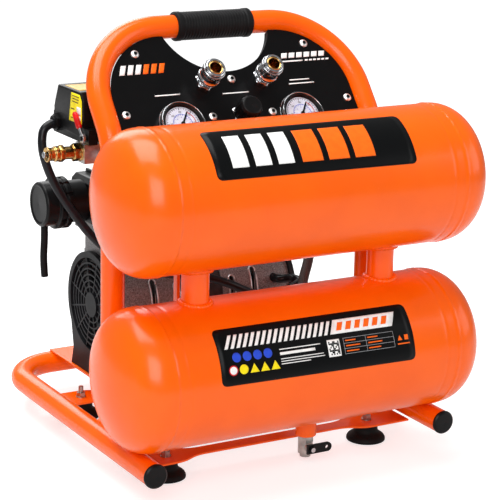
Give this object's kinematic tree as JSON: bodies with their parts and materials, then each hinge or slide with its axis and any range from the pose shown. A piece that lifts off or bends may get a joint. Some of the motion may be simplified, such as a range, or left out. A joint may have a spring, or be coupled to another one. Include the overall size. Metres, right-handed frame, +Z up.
{
  "type": "air compressor",
  "caption": "Portable twin-tank air compressor: stacked horizontal tanks, bent-tube base, hoop handle with control panel, oil-free twin piston pump behind.",
  "frame": {"origin": "centre of the footprint's bounding box, on the floor under the rubber feet", "axes": "+Z up, -Y towards the operator who faces the control panel, X along the tanks with +X at the operator's right"},
  "size_m": [0.379, 0.373, 0.4075],
  "materials": {
    "orange_paint": "gloss",
    "black_paint": "satin",
    "black_rubber": "matt",
    "black_plastic": "satin",
    "red_plastic": "satin",
    "zinc_steel": "satin",
    "chrome": "polished",
    "brass": "satin",
    "cast_aluminium": "as cast",
    "dial_white": "matt",
    "clear_lens": "clear"
  },
  "bodies": {
    "compressor": {"base_tube": "orange_paint", "capacitor": "black_paint", "check_valve": "brass", "control_panel": "black_paint", "coupler_bodies": "chrome", "crank_bearings": "zinc_steel", "crankcases": "cast_aluminium", "cylinder_heads": "black_plastic", "cylinders": "cast_aluminium", "discharge_hose": "black_rubber", "drain_boss": "orange_paint", "drain_valve_body": "brass", "fan_shrouds": "black_plastic", "filter_hose": "black_rubber", "foot_bolts": "zinc_steel", "foot_plates": "orange_paint", "gauge_bezels": "chrome", "gauge_cases": "zinc_steel", "gauge_dials": "dial_white", "gauge_lenses": "clear_lens", "handle_grip": "black_rubber", "handle_hoop": "orange_paint", "head_link_pipe": "zinc_steel", "hoop_brackets": "orange_paint", "intake_filter": "black_plastic", "lower_tank_heads": "orange_paint", "lower_tank_shell": "orange_paint", "motor_lead": "black_rubber", "motor_stator": "zinc_steel", "outlet_manifold": "cast_aluminium", "panel_nuts": "chrome", "panel_screws": "zinc_steel", "pump_bolts": "zinc_steel", "pump_plate": "orange_paint", "regulator_body": "brass", "rubber_feet": "black_rubber", "safety_valve_body": "brass", "switch_base": "black_plastic", "switch_cover": "black_plastic", "switch_glands": "black_plastic", "switch_manifold": "cast_aluminium", "tank_links": "orange_paint", "tube_end_caps": "black_plastic", "upper_tank_heads": "orange_paint", "upper_tank_shell": "orange_paint"},
    "lever": {"switch_lever": "red_plastic"},
    "knob": {"regulator_knob": "black_plastic"},
    "needle_tank": {"tank_gauge_pointer": "red_plastic"},
    "needle_outlet": {"outlet_gauge_pointer": "red_plastic"},
    "sleeve_left": {"left_coupler_sleeve": "chrome"},
    "sleeve_right": {"right_coupler_sleeve": "chrome"},
    "relief_pin": {"safety_valve_pin": "brass"},
    "drain_handle": {"drain_valve_ball": "chrome", "drain_valve_lever": "zinc_steel"},
    "crank": {"crankshaft": "zinc_steel", "cooling_fans": "black_plastic"},
    "piston_left": {"left_piston": "cast_aluminium"},
    "piston_right": {"right_piston": "cast_aluminium"}
  },
  "joints": [
    {"name": "switch_lever_turn", "type": "hinge", "parent": "compressor", "child": "lever", "pos_m": [-0.151, -0.0015, 0.303], "axis": [1, 0, 0], "range_deg": [0, 40]},
    {"name": "regulator_turn", "type": "hinge", "parent": "compressor", "child": "knob", "pos_m": [0, -0.03893, 0.32448], "axis": [0, -0.7793, 0.6266], "range_deg": [-540, 540]},
    {"name": "tank_gauge_needle", "type": "hinge", "parent": "compressor", "child": "needle_tank", "pos_m": [-0.067, -0.03738, 0.31682], "axis": [0, -0.7793, 0.6266], "range_deg": [-103, 167]},
    {"name": "outlet_gauge_needle", "type": "hinge", "parent": "compressor", "child": "needle_outlet", "pos_m": [0.061, -0.03738, 0.31682], "axis": [0, -0.7793, 0.6266], "range_deg": [-103, 167]},
    {"name": "left_sleeve_slide", "type": "slide", "parent": "compressor", "child": "sleeve_left", "axis": [0, 0.7793, -0.6266], "range_m": [0, 0.004], "stiffness_N_per_m": 600, "springref_m": -0.004},
    {"name": "right_sleeve_slide", "type": "slide", "parent": "compressor", "child": "sleeve_right", "axis": [0, 0.7793, -0.6266], "range_m": [0, 0.004], "stiffness_N_per_m": 600, "springref_m": -0.004},
    {"name": "relief_pin_pull", "type": "slide", "parent": "compressor", "child": "relief_pin", "axis": [-1, 0, 0], "range_m": [0, 0.003], "stiffness_N_per_m": 150, "springref_m": -0.003},
    {"name": "drain_turn", "type": "hinge", "parent": "compressor", "child": "drain_handle", "pos_m": [0.022, -0.1215, 0.018], "axis": [0, -1, 0], "range_deg": [0, 90]},
    {"name": "crank_turn", "type": "hinge", "parent": "compressor", "child": "crank", "pos_m": [0, 0.0855, 0.116], "axis": [1, 0, 0], "continuous": true},
    {"name": "left_piston_stroke", "type": "slide", "parent": "compressor", "child": "piston_left", "axis": [0, 0, 1], "range_m": [-0.008, 0.008]},
    {"name": "right_piston_stroke", "type": "slide", "parent": "compressor", "child": "piston_right", "axis": [0, 0, 1], "range_m": [-0.008, 0.008]}
  ],
  "couplings": [
    {"joint": "right_piston_stroke", "follows": "left_piston_stroke", "ratio": -1}
  ]
}
